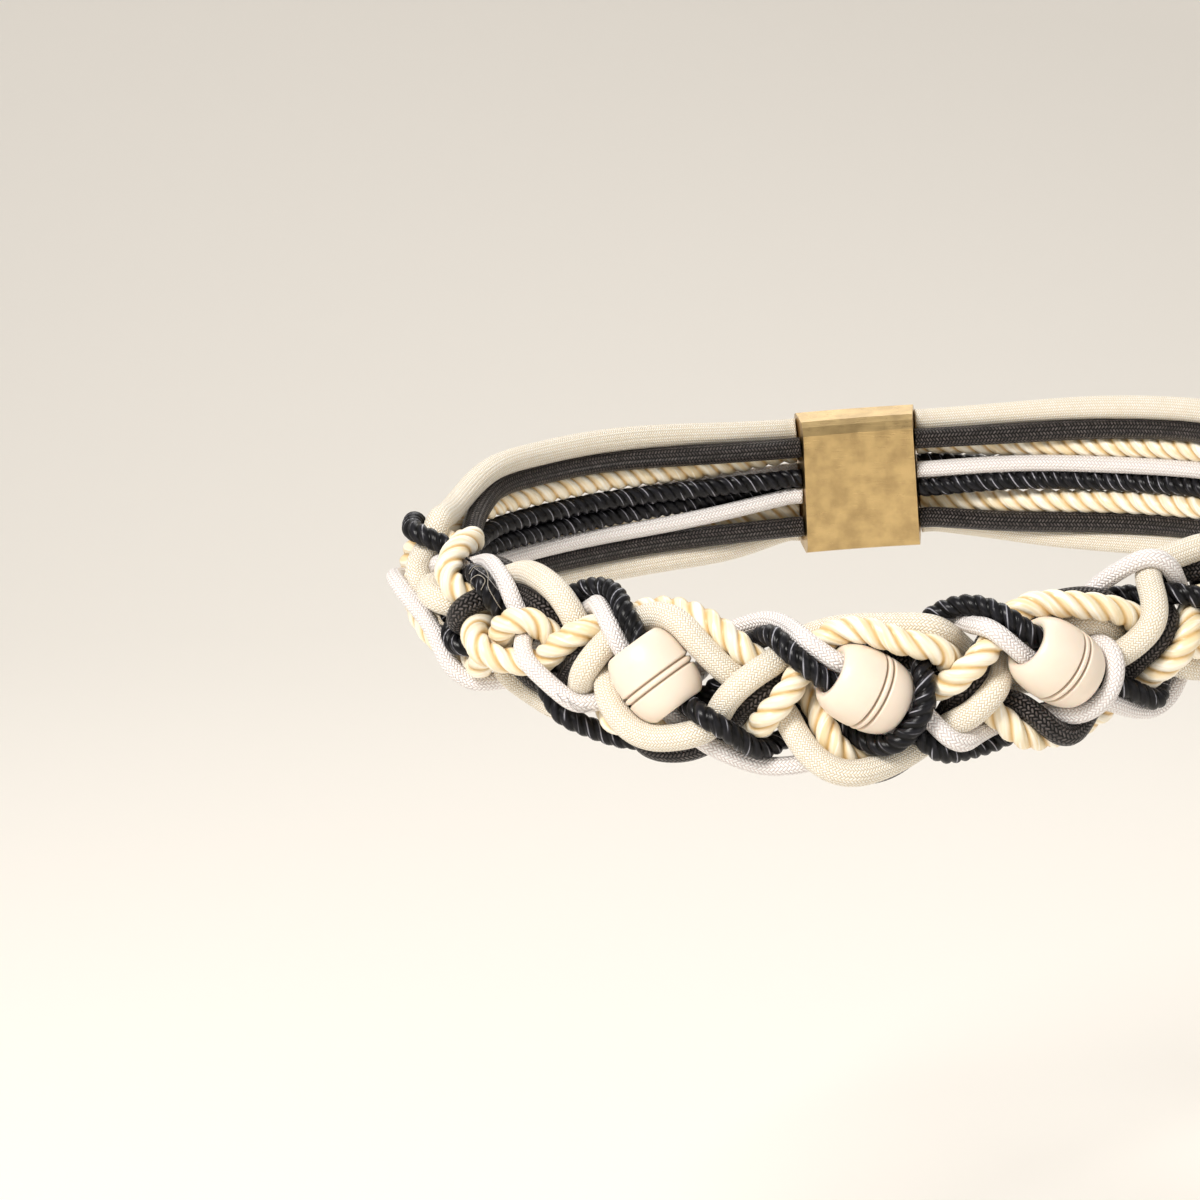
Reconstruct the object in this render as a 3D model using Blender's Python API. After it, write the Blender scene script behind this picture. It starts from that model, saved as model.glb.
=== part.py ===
"""Plaited cord belt with three barrel beads, closed round a waist.

Metres, +Z up. The front of the belt faces -Y and the origin is the middle of the
waist that it closes round. Ten cords run once round the waist in four bundles. Two
bundles pair a black rope with a thin white cord, and two hold a thick cream cord, a
black braid and a cream rope. The bundles are plaited flat, each over and under the
others in turn, three beads are threaded on the pairs at the front, and a plain clasp
holds all the ends at the back.

Places on the belt are given along it (from the front, to the right), up its face, and
out from the waist.
"""
import math

import bmesh
import bpy
import numpy as np
from mathutils import Matrix, Vector

# Waist that the belt closes round, at the middle of the plait's thickness
WAIST_HALF_WIDTH = 0.139
WAIST_HALF_DEPTH = 0.106
SIDE_RISE = 0.024
CROSS_TILT = math.radians(4.2)
FACE_LEAN = math.radians(8.0)

# Cords, by their diameters
BLACK_ROPE = 0.0062
WHITE_CORD = 0.0052
CREAM_CORD = 0.0074
BLACK_BRAID = 0.0063
CREAM_ROPE = 0.0077
CORD_GAP = 0.0003
CORD_SIDES = 5

# Plait: the way along the belt from one upper turn to the next, how high above the
# middle a bundle turns, how far it stands out or in where it crosses another and how
# quickly it goes over, and how far the beads push the cords beside them
TURN_STEP = 0.027
PAIR_REACH = 0.0132
TRIO_REACH = 0.0128
PLAIN_REACH = 0.70
CROSS_DEPTH = 0.0050
CROSS_HASTE = 2.2
TURN_HASTE = 1.5
CROWDING = 0.008
CROWDING_REACH = 0.64
INNER_FACE = 0.0100
PLAIT_HALF = 0.212
POINTS_PER_TURN = 6

# Lanes inside a bundle: how much wider a trio lies where it rises over the front, and
# how far its braid stands behind the other two everywhere else, in braid diameters
RISING_SPREAD = 0.65
BRAID_BEHIND = 0.75

# Ends: the steps of the straight run to the clasp, the turns in which the plait's
# cords are gathered to it, and the turns that stand over the belt's front
PLAIN_STEP = 0.024
GATHER_TURNS = 2.0
FRONT_TURN = 3
FRONT_TURN_PLACE = -0.0143
LEFT_SPACES = (0.945, 0.97, 0.98, 0.98, 0.76, 0.74, 0.78)
RIGHT_SPACES = (1.065, 1.065, 0.96)

# Beads
BEAD_DIAMETER = 0.0236
BEAD_LENGTH = 0.0230
BEAD_RIM = 0.0017
BEAD_SIDES = 12
BEAD_STANDOFF = 0.0095

# Clasp
CLASP_LENGTH = 0.040
CLASP_WALL = 0.0015
CLASP_ROUND = 0.004

# How far the threaded cords run straight out of a bead, in black rope diameters
EXIT_SHARE = 0.65

# Wrap of a pair round a bead's lower end, in turns to each side, how far its lower cord
# stands out beside the upper one, and the part of the bore that other cords keep a
# bead's radius off
WRAP_TURNS = 0.75
WRAP_BEHIND = 0.3
CORE_SHARE = 0.30

# Drawing up of the plait: the rounds in which the cords are parted, pulled taut and
# parted again, how hard they are pulled, how well they keep to where they were laid,
# the share of a gap that is mended at once, the turns in which cords can meet, and the
# rounds after which those that are near are listed again
PART_SWEEPS = 40
PULL = 0.3
KEEP = 0.08
PULL_SWEEPS = 180
LAST_SWEEPS = 500
MEND_SHARE = 0.8
MEETING_TURNS = 1.25
SWEEPS_BETWEEN_LISTS = 10

# Each bead: the turn above it, its shift along from there as a share of the turn
# step, its height above the middle of the plait, the fall of its bore to the right
# and how far its left end leans out
BEADS = (
    {"name": "bead_left", "turn": 1, "shift": -0.20, "lift": 0.0, "fall": 45.0, "lean": 8.0},
    {"name": "bead_middle", "turn": 3, "shift": 0.09, "lift": 0.001, "fall": 30.0, "lean": 20.0},
    {"name": "bead_right", "turn": 5, "shift": -0.04, "lift": 0.002, "fall": 42.0, "lean": 12.0},
)

# Places where a cord is led past a bead or its neighbours: the turn, and there its
# height above the middle of the plait and how far out it stands, as shares of a bead's
# diameter. Below them, the turns that a lead reaches to each side and how firmly it is
# held while the plait is pulled taut
LEADS = (
    {"cord": "white_cord_b", "turn": -2, "height": 0.62, "out": 0.22},
    {"cord": "black_rope_b", "turn": -2, "height": 0.46, "out": 0.42},
    {"cord": "cream_cord_b", "turn": -1, "height": 0.62, "out": 0.20},
    {"cord": "black_braid_b", "turn": -1, "height": 0.36, "out": 0.36},
    {"cord": "cream_rope_b", "turn": -1, "height": 0.08, "out": 0.30},
    {"cord": "black_braid_a", "turn": -1, "height": -0.72, "out": 0.22},
    {"cord": "cream_cord_a", "turn": -1, "height": -0.60, "out": -0.15},
    {"cord": "black_braid_a", "turn": 0, "height": 0.0, "out": 0.42},
    {"cord": "black_rope_b", "turn": 0, "height": -0.72, "out": 0.05},
    {"cord": "white_cord_b", "turn": 0, "height": -0.42, "out": 0.30},
    {"cord": "cream_rope_a", "turn": 1, "height": 0.95, "out": 0.25},
    {"cord": "cream_cord_a", "turn": 1, "height": 0.62, "out": 0.66},
    {"cord": "black_braid_a", "turn": 1, "height": 0.62, "out": -0.05},
    {"cord": "cream_cord_b", "turn": 1, "height": -0.72, "out": 0.45},
    {"cord": "black_braid_b", "turn": 1, "height": -0.92, "out": 0.20},
    {"cord": "black_braid_b", "turn": 2, "height": -0.08, "out": 0.40},
    {"cord": "cream_rope_b", "turn": 3, "height": 0.64, "out": 0.66},
    {"cord": "cream_cord_b", "turn": 3, "height": 0.88, "out": 0.36},
    {"cord": "black_braid_b", "turn": 3, "height": 0.60, "out": 0.0},
    {"cord": "cream_rope_a", "turn": 3, "height": -0.62, "out": -0.05},
    {"cord": "cream_cord_a", "turn": 3, "height": -0.76, "out": 0.25},
    {"cord": "black_braid_a", "turn": 4, "height": -0.05, "out": 0.28},
    {"cord": "cream_rope_a", "turn": 5, "height": 0.70, "out": 0.48},
    {"cord": "black_braid_a", "turn": 5, "height": 1.00, "out": 0.12},
    {"cord": "cream_cord_a", "turn": 5, "height": 0.55, "out": -0.10},
    {"cord": "black_braid_b", "turn": 5, "height": -0.70, "out": 0.42},
    {"cord": "cream_rope_b", "turn": 5, "height": -0.92, "out": 0.15},
)
LEAD_REACH = 0.75
LEAD_HOLD = 0.06

# Each cord: its bundle, its lane in it (1 is the upper side, -1 the lower), its
# diameter and its material
CORDS = (
    {"name": "black_rope_a", "bundle": 0, "lane": 1, "size": BLACK_ROPE},
    {"name": "white_cord_a", "bundle": 0, "lane": -1, "size": WHITE_CORD},
    {"name": "cream_rope_a", "bundle": 1, "lane": 1, "size": CREAM_ROPE},
    {"name": "black_braid_a", "bundle": 1, "lane": 0, "size": BLACK_BRAID},
    {"name": "cream_cord_a", "bundle": 1, "lane": -1, "size": CREAM_CORD},
    {"name": "white_cord_b", "bundle": 2, "lane": 1, "size": WHITE_CORD},
    {"name": "black_rope_b", "bundle": 2, "lane": -1, "size": BLACK_ROPE},
    {"name": "cream_cord_b", "bundle": 3, "lane": 1, "size": CREAM_CORD},
    {"name": "black_braid_b", "bundle": 3, "lane": 0, "size": BLACK_BRAID},
    {"name": "cream_rope_b", "bundle": 3, "lane": -1, "size": CREAM_ROPE},
)
BUNDLES = 4
PAIR_BUNDLES = (0, 2)
BORE = BLACK_ROPE + WHITE_CORD + 4 * CORD_GAP

COLOURS = {
    "black_rope": ((0.012, 0.012, 0.014, 1), 0.35, 0.0),
    "white_cord": ((0.86, 0.82, 0.79, 1), 0.70, 0.0),
    "cream_cord": ((0.86, 0.80, 0.66, 1), 0.70, 0.0),
    "black_braid": ((0.016, 0.015, 0.016, 1), 0.55, 0.0),
    "cream_rope": ((0.90, 0.78, 0.52, 1), 0.35, 0.0),
    "bead": ((0.88, 0.78, 0.65, 1), 0.60, 0.0),
    "clasp": ((0.80, 0.66, 0.38, 1), 0.35, 1.0),
}


def material(kind):
    """Return the plain material of a kind of piece, made once."""
    known = bpy.data.materials.get(kind)
    if known:
        return known
    made = bpy.data.materials.new(kind)
    made.use_nodes = True
    colour, roughness, metallic = COLOURS[kind]
    shader = made.node_tree.nodes["Principled BSDF"]
    shader.inputs["Base Color"].default_value = colour
    shader.inputs["Roughness"].default_value = roughness
    shader.inputs["Metallic"].default_value = metallic
    return made


class Waist:
    """The closed line that the middle of the plait follows round the waist."""

    def __init__(self):
        angles = np.linspace(0.0, 2 * math.pi, 2881)
        x = WAIST_HALF_WIDTH * np.sin(angles)
        y = -WAIST_HALF_DEPTH * np.cos(angles)
        steps = np.hypot(np.diff(x), np.diff(y))
        self.angles = angles
        self.lengths = np.concatenate([[0.0], np.cumsum(steps)])
        self.girth = float(self.lengths[-1])

    def angle(self, along):
        """Return the angle round the ellipse at a length along the belt."""
        return np.interp(np.mod(along, self.girth), self.lengths, self.angles)

    def frame(self, along):
        """Return the middle, the upward and the outward direction of the face."""
        a = self.angle(along)
        x = WAIST_HALF_WIDTH * np.sin(a)
        y = -WAIST_HALF_DEPTH * np.cos(a)
        lift = np.where(np.cos(a) > 0, np.sin(a) ** 2, 1.0)
        z = SIDE_RISE * (lift - 0.5) + math.tan(CROSS_TILT) * x
        middle = np.stack([x, y, z], axis=-1)
        climb = np.where(np.cos(a) > 0, np.sin(2 * a), 0.0) * SIDE_RISE
        climb = climb + math.tan(CROSS_TILT) * WAIST_HALF_WIDTH * np.cos(a)
        right = np.stack([WAIST_HALF_WIDTH * np.cos(a), WAIST_HALF_DEPTH * np.sin(a), climb], axis=-1)
        right /= np.linalg.norm(right, axis=-1, keepdims=True)
        flat = np.stack([WAIST_HALF_DEPTH * np.sin(a), -WAIST_HALF_WIDTH * np.cos(a), 0 * a], axis=-1)
        flat /= np.linalg.norm(flat, axis=-1, keepdims=True)
        square = np.cross(flat, right)
        face_up = square * math.cos(FACE_LEAN) - flat * math.sin(FACE_LEAN)
        face_out = flat * math.cos(FACE_LEAN) + square * math.sin(FACE_LEAN)
        return middle, face_up, face_out

    def point(self, along, height, out):
        """Return the point at a place on the belt."""
        middle, face_up, face_out = self.frame(along)
        height = np.asarray(height)[..., None]
        return middle + face_up * height + face_out * np.asarray(out)[..., None]


def turn_places():
    """Return the numbers of the upper turns and their places along the belt."""
    numbers = [FRONT_TURN]
    places = [FRONT_TURN_PLACE]
    while places[-1] < PLAIT_HALF + 2 * TURN_STEP:
        passed = len(places) - 1
        share = RIGHT_SPACES[passed] if passed < len(RIGHT_SPACES) else 1.0
        numbers.append(numbers[-1] + 1)
        places.append(places[-1] + share * TURN_STEP)
    passed = 0
    while places[0] > -PLAIT_HALF - 2 * TURN_STEP:
        share = LEFT_SPACES[passed] if passed < len(LEFT_SPACES) else 1.0
        numbers.insert(0, numbers[0] - 1)
        places.insert(0, places[0] - share * TURN_STEP)
        passed += 1
    return np.array(numbers, float), np.array(places)


def plain_run(start, end):
    """Return the places of the points on the straight run from the plait to the clasp."""
    way = math.copysign(1.0, end - start)
    count = max(2, round(abs(end - start) / PLAIN_STEP))
    run = start + (end - start) * np.arange(1, count + 1) / count
    return np.concatenate([run[:-1], [end - way * PLAIN_STEP / 4, end]])


def smooth(share):
    """Ease a share from 0 to 1."""
    share = np.clip(share, 0.0, 1.0)
    return share * share * (3.0 - 2.0 * share)


class Plait:
    """The routes of all the cords, from one face of the clasp round to the other."""

    def __init__(self, waist):
        self.waist = waist
        self.end = waist.girth / 2 - CLASP_LENGTH / 2 - CORD_GAP
        self.numbers, self.places = turn_places()
        self.radii = np.array([cord["size"] / 2 for cord in CORDS])
        self.beads = [self.bead_place(row) for row in BEADS]
        self.turns, self.along = self.grid()
        self.fixed = np.zeros((len(CORDS), len(self.turns)), bool)
        self.fixed[:, :2] = True
        self.fixed[:, -2:] = True
        self.points = np.array([self.route(cord) for cord in CORDS])

    def place(self, turn):
        """Return the place along the belt of a turn number, whole or not."""
        return np.interp(turn, self.numbers, self.places)

    def grid(self):
        """Return the turn numbers and the places of the points that every cord has."""
        first = math.ceil(np.interp(-PLAIT_HALF, self.places, self.numbers) * POINTS_PER_TURN)
        last = math.floor(np.interp(PLAIT_HALF, self.places, self.numbers) * POINTS_PER_TURN)
        turns = np.arange(first, last + 1) / POINTS_PER_TURN
        along = self.place(turns)
        left = plain_run(along[0], -self.end)[::-1]
        right = plain_run(along[-1], self.end)
        turns = np.concatenate([np.full(len(left), turns[0]), turns, np.full(len(right), turns[-1])])
        return turns, np.concatenate([left, along, right])

    def bead_place(self, row):
        """Return the middle of a bead and the direction of its bore."""
        along = self.place(row["turn"]) + row["shift"] * TURN_STEP
        middle, face_up, face_out = self.waist.frame(along)
        right = np.cross(face_up, face_out)
        fall = math.radians(row["fall"])
        lean = math.radians(row["lean"])
        bore = math.cos(lean) * (math.cos(fall) * right - math.sin(fall) * face_up)
        bore = bore - math.sin(lean) * face_out
        side = math.sin(fall) * right + math.cos(fall) * face_up
        centre = middle + BEAD_STANDOFF * face_out + row["lift"] * face_up
        return {"row": row, "along": along, "centre": centre, "bore": bore, "side": side}

    def threads(self, cord, bead):
        """Tell whether a cord runs through a bead."""
        return cord["bundle"] in PAIR_BUNDLES and (bead["row"]["turn"] - 1 - cord["bundle"]) % BUNDLES == 0

    def fullness(self):
        """Return how wide the plait is at each point, as a share of its bead width."""
        first, last = BEADS[0]["turn"] - 1.5, BEADS[-1]["turn"] + 1.5
        beyond = np.maximum(first - self.turns, self.turns - last)
        return PLAIN_REACH + (1 - PLAIN_REACH) * smooth(1 - beyond / 2)

    def crowding(self):
        """Return how far the beads push the cords beside them along the belt."""
        moved = np.zeros(len(self.along))
        for bead in self.beads:
            away = (self.along - bead["along"]) / (BEAD_LENGTH * CROWDING_REACH)
            moved += CROWDING * away * np.exp((1 - away ** 2) / 2)
        return moved

    def route(self, cord):
        """Return a cord's points as the plait is laid, before it is drawn up."""
        pair = cord["bundle"] in PAIR_BUNDLES
        reach = (PAIR_REACH if pair else TRIO_REACH) * self.fullness()
        phase = (self.turns - cord["bundle"]) * math.pi / 2
        rate = np.gradient(phase) / np.gradient(self.along)
        height = reach * np.cos(phase)
        slope = -reach * np.sin(phase) * rate
        swing = -np.cos(4 * phase) * np.clip(TURN_HASTE * np.sin(phase), -1, 1)
        out = CROSS_DEPTH * np.clip(CROSS_HASTE * swing, -1, 1)
        rising = np.maximum(-np.sin(phase), 0.0)
        if pair:
            spread = (BLACK_ROPE + WHITE_CORD) / 4
        else:
            spread = (CREAM_CORD + CREAM_ROPE) / 4 * (1.0 + RISING_SPREAD * rising)
            if cord["lane"] == 0:
                out = out - BRAID_BEHIND * BLACK_BRAID * (1.0 - rising ** 2)
        tilt = 1 / np.sqrt(1 + slope ** 2)
        along = self.along + self.crowding() * np.sin(phase) ** 2
        along = along - cord["lane"] * spread * slope * tilt
        height = height + cord["lane"] * spread * tilt
        along, height, out = self.gather(cord, along, height, out)
        points = self.waist.point(along, height, out)
        for lead in LEADS:
            if lead["cord"] == cord["name"]:
                spot = int(np.argmin(np.abs(self.turns - lead["turn"])))
                place = lead["height"] * BEAD_DIAMETER, lead["out"] * BEAD_DIAMETER
                moved = self.waist.point(along[spot], *place) - points[spot]
                points += self.lead_share(lead)[:, None] * moved
        for bead in self.beads:
            if self.threads(cord, bead):
                self.thread(cord, bead, points)
            elif pair:
                self.round_bead(cord, bead, points)
        return points

    def lead_share(self, lead):
        """Return how much a lead counts at each point."""
        return smooth(1.0 - np.abs(self.turns - lead["turn"]) / LEAD_REACH)

    def led(self):
        """Return how firmly each cord is held where it is led."""
        held = np.zeros(self.fixed.shape)
        for rank, cord in enumerate(CORDS):
            for lead in LEADS:
                if lead["cord"] == cord["name"]:
                    held[rank] += LEAD_HOLD * self.lead_share(lead)
        return held[..., None]

    def gather(self, cord, along, height, out):
        """Bring a cord's two ends to its place on the clasp's faces."""
        for end_turn in (self.turns[0], self.turns[-1]):
            slot_height, slot_out = clasp_slot(cord, end_turn)
            share = smooth(1.0 - np.abs(self.turns - end_turn) / GATHER_TURNS)
            height = height + share * (slot_height - height)
            out = out + share * (slot_out - out)
            along = along + share * (self.along - along)
        return along, height, out

    def thread(self, cord, bead, points):
        """Lead a cord straight through a bead's bore and hold it there."""
        middle = int(np.argmin(np.abs(self.turns - bead["row"]["turn"])))
        offset = cord["lane"] * (BORE / 2 - cord["size"] / 2 - CORD_GAP)
        half = POINTS_PER_TURN // 2
        step = (BEAD_LENGTH / 2 + BLACK_ROPE * EXIT_SHARE) / half
        for shift in range(-half, half + 1):
            points[middle + shift] = bead["centre"] + bead["bore"] * shift * step + bead["side"] * offset
            self.fixed[CORDS.index(cord), middle + shift] = True

    def round_bead(self, cord, bead, points):
        """Lead a pair's cord round a bead's lower end, over the cords that leave it."""
        stand = BEAD_STANDOFF * (1.0 if cord["lane"] > 0 else WRAP_BEHIND)
        middle = int(np.argmin(np.abs(self.turns - bead["row"]["turn"])))
        reach = int(POINTS_PER_TURN * WRAP_TURNS)
        way = bead["bore"] * (BEAD_LENGTH / 2 + BLACK_ROPE)
        _, _, face_out = self.waist.frame(self.along)
        for shift in range(-reach + 1, reach):
            share = smooth(1.0 - abs(shift) / reach)
            points[middle + shift] += share * (way + face_out[middle + shift] * stand)

    def draw_up(self):
        """Part the cords, pull them taut and part them again until none touches."""
        count, size = self.fixed.shape
        laid = self.points.copy()
        axes = [self.bead_axis(bead) for bead in self.beads]
        points = np.concatenate([self.points.reshape(-1, 3)] + axes)
        fixed = np.concatenate([self.fixed.reshape(-1), np.ones(2 * len(axes), bool)])
        loose = (~self.fixed)[..., None]
        led = self.led()
        contacts = self.contacts(count, size)
        middle, _, face_out = self.waist.frame(self.along)
        for sweep in range(PART_SWEEPS + PULL_SWEEPS + LAST_SWEEPS):
            cords = points[: count * size].reshape(count, size, 3)
            pulling = PART_SWEEPS <= sweep < PART_SWEEPS + PULL_SWEEPS
            easing = max(0.0, 1.0 - (sweep - PART_SWEEPS - PULL_SWEEPS) / (LAST_SWEEPS / 2))
            pull = 0.0 if sweep < PART_SWEEPS else PULL if pulling else PULL * easing
            straight = (cords[:, :-2] + cords[:, 2:]) / 2 - cords[:, 1:-1]
            cords[:, 1:-1] += pull * straight * loose[:, 1:-1]
            cords += pull * (KEEP + led) * (laid - cords) * loose
            depth = ((cords - middle) * face_out).sum(-1)
            sunk = np.maximum(self.radii[:, None] - INNER_FACE - depth, 0.0)
            cords += (sunk * ~self.fixed)[..., None] * face_out
            if sweep % SWEEPS_BETWEEN_LISTS == 0:
                near = self.near(points, contacts)
            push_apart(points, near, ~fixed)
        self.points = points[: count * size].reshape(count, size, 3)

    def bead_axis(self, bead):
        """Return the two ends of the line inside a bead that others keep off."""
        half = bead["bore"] * BEAD_LENGTH * CORE_SHARE / 2
        return np.array([bead["centre"] - half, bead["centre"] + half])

    def contacts(self, count, size):
        """Return every pair of stretches that could touch, with the room they need."""
        firsts, seconds, rooms = [], [], []
        window = int(POINTS_PER_TURN * MEETING_TURNS)
        for one in range(count):
            for other in range(one + 1, count):
                room = self.radii[one] + self.radii[other] + CORD_GAP
                for shift in range(-window, window + 1):
                    spots = np.arange(max(0, -shift), min(size - 1, size - 1 - shift))
                    firsts.append(one * size + spots)
                    seconds.append(other * size + spots + shift)
                    rooms.append(np.full(len(spots), room))
        for number, bead in enumerate(self.beads):
            middle = int(np.argmin(np.abs(self.turns - bead["row"]["turn"])))
            spots = np.arange(middle - 2 * POINTS_PER_TURN, middle + 2 * POINTS_PER_TURN)
            for rank, cord in enumerate(CORDS):
                if self.threads(cord, bead):
                    continue
                firsts.append(rank * size + spots)
                seconds.append(np.full(len(spots), count * size + 2 * number))
                rooms.append(np.full(len(spots), BEAD_DIAMETER / 2 + self.radii[rank] + CORD_GAP))
        return np.concatenate(firsts), np.concatenate(seconds), np.concatenate(rooms)

    def near(self, points, contacts):
        """Return the contacts whose stretches are close enough to matter."""
        first, second, room = contacts
        centres = (points[:-1] + points[1:]) / 2
        halves = np.linalg.norm(points[1:] - points[:-1], axis=1) / 2
        apart = np.linalg.norm(centres[first] - centres[second], axis=1)
        keep = apart < room + halves[first] + halves[second] + BLACK_ROPE / 2
        return first[keep], second[keep], room[keep]


def push_apart(points, near, free):
    """Move the ends of stretches that are too close until they have room."""
    first, second, room = near
    start, other = points[first], points[second]
    way, other_way = points[first + 1] - start, points[second + 1] - other
    between = start - other
    a = (way * way).sum(1)
    e = (other_way * other_way).sum(1)
    b = (way * other_way).sum(1)
    c = (way * between).sum(1)
    f = (other_way * between).sum(1)
    spread = np.maximum(a * e - b * b, 1e-14)
    s = np.clip((b * f - c * e) / spread, 0, 1)
    t = np.clip((b * s + f) / e, 0, 1)
    s = np.clip((b * t - c) / a, 0, 1)
    gap = between + way * s[:, None] - other_way * t[:, None]
    distance = np.maximum(np.linalg.norm(gap, axis=1), 1e-9)
    short = room - distance
    close = short > 0
    if not close.any():
        return
    ids = np.stack([first, first + 1, second, second + 1])[:, close]
    shares = np.stack([1 - s, s, t - 1, -t])[:, close]
    shares = shares * free[ids]
    weight = np.maximum((shares ** 2).sum(0), 1e-6)
    push = shares * (short[close] / weight)
    direction = (gap[close] / distance[close, None])
    total = np.zeros_like(points)
    hits = np.bincount(ids.ravel(), weights=np.abs(shares).ravel(), minlength=len(points))
    for axis in range(3):
        moved = (push * direction[:, axis]).ravel()
        total[:, axis] = np.bincount(ids.ravel(), weights=moved, minlength=len(points))
    points += MEND_SHARE * total / np.maximum(hits, 1.0)[:, None]


def clasp_slot(cord, end_turn):
    """Return the height and depth at which a cord meets the clasp."""
    pair_width = max(BLACK_ROPE, WHITE_CORD) + CORD_GAP
    trio_width = CREAM_CORD + CREAM_ROPE + 2 * CORD_GAP
    row = (max(CREAM_CORD, CREAM_ROPE, BLACK_ROPE) + CORD_GAP) / 2
    order = sorted(range(BUNDLES), key=lambda bundle: -math.cos((end_turn - bundle) * math.pi / 2))
    widths = [pair_width if bundle in PAIR_BUNDLES else trio_width for bundle in order]
    rank = order.index(cord["bundle"])
    height = sum(widths) / 2 - sum(widths[:rank]) - widths[rank] / 2
    if cord["bundle"] in PAIR_BUNDLES:
        return height, cord["lane"] * row
    if cord["lane"] == 0:
        return height, -row
    return height + cord["lane"] * trio_width / 4, row


def clear_scene():
    """Remove whatever the file holds."""
    for thing in list(bpy.data.objects):
        bpy.data.objects.remove(thing)


def profile(diameter):
    """Return the many-sided section that a cord of this diameter is drawn with."""
    name = f"section_{round(diameter * 1e4)}"
    known = bpy.data.objects.get(name)
    if known:
        return known
    data = bpy.data.curves.new(name, "CURVE")
    data.dimensions = "3D"
    spline = data.splines.new("POLY")
    spline.points.add(CORD_SIDES - 1)
    for rank, point in enumerate(spline.points):
        angle = -2 * math.pi * rank / CORD_SIDES
        point.co = (diameter / 2 * math.cos(angle), diameter / 2 * math.sin(angle), 0, 1)
    spline.use_cyclic_u = True
    guide = bpy.data.objects.new(name, data)
    guide.hide_render = True
    guide.display_type = "WIRE"
    bpy.context.collection.objects.link(guide)
    return guide


def build_cord(cord, points):
    """Draw one cord along its points, closed at both ends."""
    data = bpy.data.curves.new(cord["name"], "CURVE")
    data.dimensions = "3D"
    data.bevel_mode = "OBJECT"
    data.bevel_object = profile(cord["size"])
    data.use_fill_caps = True
    data.resolution_u = 1
    data.render_resolution_u = 0
    spline = data.splines.new("POLY")
    spline.points.add(len(points) - 1)
    spline.points.foreach_set("co", np.hstack([points, np.ones((len(points), 1))]).ravel())
    spline.use_smooth = True
    cord_object = bpy.data.objects.new(cord["name"], data)
    bpy.context.collection.objects.link(cord_object)
    data.materials.append(material(cord["name"].rsplit("_", 1)[0]))
    return cord_object


def bead_outline():
    """Return the bead's outline as lengths along its bore and out from it."""
    rim = BORE / 2 + BEAD_RIM
    swell = BEAD_DIAMETER / 2 - rim
    outline = [(-BEAD_LENGTH / 2, BORE / 2)]
    for angle in (0, 20, 42, 66, 90, 114, 138, 160, 180):
        turn = math.radians(angle)
        outline.append((-BEAD_LENGTH / 2 * math.cos(turn), rim + swell * math.sin(turn) ** 0.9))
    outline.append((BEAD_LENGTH / 2, BORE / 2))
    return outline


def build_bead(bead):
    """Turn one bead about its bore and seat it on the cords."""
    mesh = bpy.data.meshes.new(bead["row"]["name"])
    shape = bmesh.new()
    rings = []
    for along, out in bead_outline():
        ring = []
        for side in range(BEAD_SIDES):
            angle = 2 * math.pi * side / BEAD_SIDES
            ring.append(shape.verts.new((along, out * math.cos(angle), out * math.sin(angle))))
        rings.append(ring)
    for rank, ring in enumerate(rings):
        following = rings[(rank + 1) % len(rings)]
        for side in range(BEAD_SIDES):
            beside = (side + 1) % BEAD_SIDES
            shape.faces.new((ring[side], ring[beside], following[beside], following[side]))
    bmesh.ops.recalc_face_normals(shape, faces=shape.faces)
    shape.to_mesh(mesh)
    shape.free()
    mesh.shade_smooth()
    mesh.set_sharp_from_angle(angle=math.radians(50))
    mesh.materials.append(material("bead"))
    bead_object = bpy.data.objects.new(bead["row"]["name"], mesh)
    bore = Vector(bead["bore"]).normalized()
    side = Vector(bead["side"]).normalized()
    third = bore.cross(side)
    turn = Matrix((bore, side, third)).transposed().to_4x4()
    bead_object.matrix_world = Matrix.Translation(Vector(bead["centre"])) @ turn
    bpy.context.collection.objects.link(bead_object)
    return bead_object


def build_clasp(waist):
    """Build the plain clasp as a rounded bar that follows the waist at the back."""
    widths = 2 * (max(BLACK_ROPE, WHITE_CORD) + CREAM_CORD + CREAM_ROPE + 3 * CORD_GAP)
    half_height = widths / 2 + CLASP_WALL
    half_depth = max(CREAM_CORD, CREAM_ROPE, BLACK_ROPE) + CORD_GAP + CLASP_WALL
    section = []
    for up, out, first in ((1, 1, 0), (-1, 1, 90), (-1, -1, 180), (1, -1, 270)):
        for angle in (first, first + 45, first + 90):
            turn = math.radians(angle)
            height = up * (half_height - CLASP_ROUND) + CLASP_ROUND * math.cos(turn)
            depth = out * (half_depth - CLASP_ROUND) + CLASP_ROUND * math.sin(turn)
            section.append((height, depth))
    section = np.array(section)
    shape = bmesh.new()
    rings = []
    for share in np.linspace(-0.5, 0.5, 5):
        along = np.full(len(section), waist.girth / 2 + share * CLASP_LENGTH)
        points = waist.point(along, section[:, 0], section[:, 1])
        rings.append([shape.verts.new(point) for point in points])
    for ring, following in zip(rings, rings[1:]):
        for rank in range(len(ring)):
            beside = (rank + 1) % len(ring)
            shape.faces.new((ring[rank], ring[beside], following[beside], following[rank]))
    shape.faces.new(rings[0])
    shape.faces.new(rings[-1])
    bmesh.ops.recalc_face_normals(shape, faces=shape.faces)
    mesh = bpy.data.meshes.new("clasp")
    shape.to_mesh(mesh)
    shape.free()
    mesh.shade_smooth()
    mesh.set_sharp_from_angle(angle=math.radians(60))
    mesh.materials.append(material("clasp"))
    clasp = bpy.data.objects.new("clasp", mesh)
    bpy.context.collection.objects.link(clasp)
    return clasp


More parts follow.
